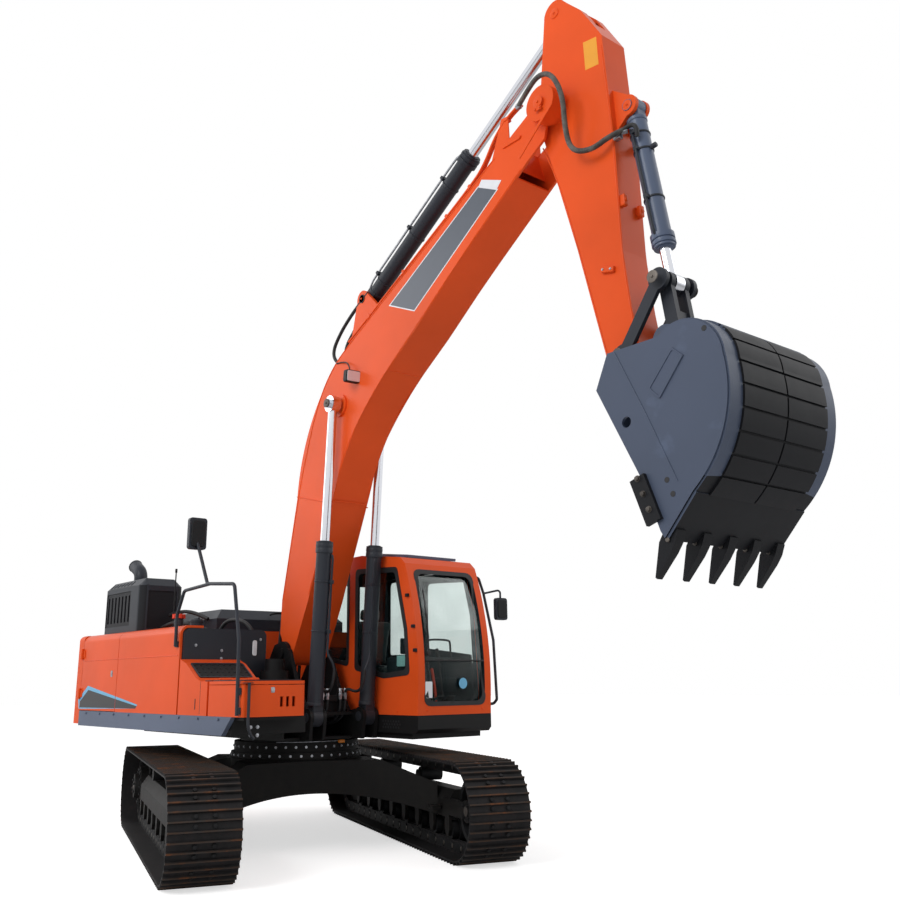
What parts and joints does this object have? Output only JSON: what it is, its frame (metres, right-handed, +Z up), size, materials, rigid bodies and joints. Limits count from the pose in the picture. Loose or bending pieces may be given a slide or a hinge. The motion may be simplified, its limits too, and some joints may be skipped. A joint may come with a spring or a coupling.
{
  "type": "crawler excavator",
  "caption": "Tracked excavator with a turning upper structure, cab, rear weight, bent boom, arm, rams and a toothed digging bucket, all on working joints.",
  "frame": {"origin": "on the ground under the middle of the whole machine as it is parked", "axes": "+X forward along the boom, +Y to the operator's left, +Z up"},
  "size_m": [9.3098, 4.5322, 7.61],
  "materials": {
    "orange_paint": "satin",
    "slate_paint": "satin",
    "graphite_paint": "satin",
    "track_steel": "rough",
    "undercarriage_paint": "satin",
    "counterweight_iron": "painted",
    "rod_chrome": "polished",
    "cab_glass": "clear",
    "seat_fabric": "matt",
    "engine_metal": "rough",
    "black_paint": "satin",
    "bucket_paint": "worn"
  },
  "bodies": {
    "undercarriage": {"car_body": "undercarriage_paint", "track_frames": "undercarriage_paint", "track_left": "track_steel", "track_right": "track_steel", "track_rollers": "track_steel", "idlers": "track_steel", "final_drives": "undercarriage_paint"},
    "upper": {"revolving_frame": "black_paint", "side_skirts": "slate_paint", "counterweight": "counterweight_iron", "right_cover": "orange_paint", "left_cover": "orange_paint", "fuel_tank": "graphite_paint", "engine_roof": "orange_paint", "exhaust_cover": "graphite_paint", "engine_block": "engine_metal", "battery_box": "orange_paint", "toolbox": "orange_paint", "swing_motor": "black_paint", "handrails": "graphite_paint", "cab_base": "black_paint", "cab_shell": "orange_paint", "cab_glass": "cab_glass", "seat": "seat_fabric"},
    "right_rear_door": {"pump_door": "orange_paint"},
    "left_rear_door": {"radiator_door": "orange_paint"},
    "hood": {"engine_hood": "graphite_paint"},
    "box_lid": {"toolbox_lid": "orange_paint"},
    "hatch": {"roof_hatch": "slate_paint"},
    "door": {"cab_door": "orange_paint", "door_glass": "cab_glass"},
    "boom": {"boom": "orange_paint"},
    "boom_barrels": {"boom_cylinder_barrel": "graphite_paint"},
    "boom_rods": {"boom_cylinder_rod": "rod_chrome"},
    "arm_barrel": {"arm_cylinder_barrel": "graphite_paint"},
    "arm_rod": {"arm_cylinder_rod": "rod_chrome"},
    "arm": {"arm": "orange_paint"},
    "bucket_barrel": {"bucket_cylinder_barrel": "slate_paint"},
    "bucket_rod": {"bucket_cylinder_rod": "rod_chrome"},
    "rocker": {"rocker": "graphite_paint"},
    "link": {"bucket_link": "graphite_paint"},
    "bucket": {"bucket_shell": "bucket_paint", "bucket_teeth": "bucket_paint"}
  },
  "joints": [
    {"name": "swing", "type": "hinge", "parent": "undercarriage", "child": "upper", "pos_m": [-1.527, 0, 1], "axis": [0, 0, 1], "continuous": true},
    {"name": "boom_lift", "type": "hinge", "parent": "upper", "child": "boom", "pos_m": [-1.432, 0, 1.931], "axis": [0, -1, 0], "range_deg": [-80, 7]},
    {"name": "boom_cylinder_turn", "type": "hinge", "parent": "upper", "child": "boom_barrels", "pos_m": [-0.677, 0, 1.28], "axis": [0, -1, 0], "range_deg": [-78.8, 7.81]},
    {"name": "boom_cylinder_stroke", "type": "slide", "parent": "boom_barrels", "child": "boom_rods", "axis": [0.0728, 0, 0.9973], "range_m": [-1.2932, 0.12228]},
    {"name": "arm_turn", "type": "hinge", "parent": "boom", "child": "arm", "pos_m": [2.793, 0, 6.51], "axis": [0, 1, 0], "range_deg": [-80, 33]},
    {"name": "arm_cylinder_turn", "type": "hinge", "parent": "boom", "child": "arm_barrel", "pos_m": [-0.197, 0, 5.68], "axis": [0, 1, 0], "range_deg": [-5.58, 2.89]},
    {"name": "arm_cylinder_stroke", "type": "slide", "parent": "arm_barrel", "child": "arm_rod", "axis": [0.8605, 0, 0.5095], "range_m": [-1.22824, 0.51252]},
    {"name": "bucket_curl", "type": "hinge", "parent": "arm", "child": "bucket", "pos_m": [3.483, 0, 3.62], "axis": [0, 1, 0], "range_deg": [-12, 128]},
    {"name": "rocker_turn", "type": "hinge", "parent": "arm", "child": "rocker", "pos_m": [3.423, 0, 4.04], "axis": [0, 1, 0], "range_deg": [-11.47, 112.65]},
    {"name": "link_turn", "type": "hinge", "parent": "rocker", "child": "link", "pos_m": [3.803, 0, 4.55], "axis": [0, -1, 0], "range_deg": [-8.78, 83.98]},
    {"name": "bucket_cylinder_turn", "type": "hinge", "parent": "arm", "child": "bucket_barrel", "pos_m": [3.553, 0, 6.2], "axis": [0, 1, 0], "range_deg": [-1.14, 2.54]},
    {"name": "bucket_cylinder_stroke", "type": "slide", "parent": "bucket_barrel", "child": "bucket_rod", "axis": [0.1498, 0, -0.9887], "range_m": [-0.1042, 1.0148]},
    {"name": "cab_door_hinge", "type": "hinge", "parent": "upper", "child": "door", "pos_m": [-1.107, 1.426, 2], "axis": [0, 0, 1], "range_deg": [0, 160]},
    {"name": "right_rear_door_hinge", "type": "hinge", "parent": "upper", "child": "right_rear_door", "pos_m": [-4.127, -1.466, 1.75], "axis": [0, 0, -1], "range_deg": [0, 100]},
    {"name": "left_rear_door_hinge", "type": "hinge", "parent": "upper", "child": "left_rear_door", "pos_m": [-4.127, 1.466, 1.75], "axis": [0, 0, 1], "range_deg": [0, 100]},
    {"name": "hood_hinge", "type": "hinge", "parent": "upper", "child": "hood", "pos_m": [-3.963, 0, 2.216], "axis": [0, -1, 0], "range_deg": [0, 60]},
    {"name": "box_lid_hinge", "type": "hinge", "parent": "upper", "child": "box_lid", "pos_m": [-0.7745, -1.12, 1.657], "axis": [0, -1, 0], "range_deg": [0, 85]},
    {"name": "hatch_hinge", "type": "hinge", "parent": "upper", "child": "hatch", "pos_m": [-0.9163, 0.92, 2.99744], "axis": [0, -1, 0], "range_deg": [0, 75]}
  ],
  "couplings": [
    {"joint": "boom_cylinder_turn", "follows": "boom_lift", "ratio": 0.9725},
    {"joint": "boom_cylinder_stroke", "follows": "boom_lift", "m_per_rad": 0.91902},
    {"joint": "arm_cylinder_turn", "follows": "arm_turn", "ratio": 0.0573},
    {"joint": "arm_cylinder_stroke", "follows": "arm_turn", "m_per_rad": 0.8725},
    {"joint": "rocker_turn", "follows": "bucket_curl", "ratio": 0.8723},
    {"joint": "link_turn", "follows": "bucket_curl", "ratio": 0.6483},
    {"joint": "bucket_cylinder_turn", "follows": "bucket_curl", "ratio": 0.012},
    {"joint": "bucket_cylinder_stroke", "follows": "bucket_curl", "m_per_rad": 0.44977}
  ]
}
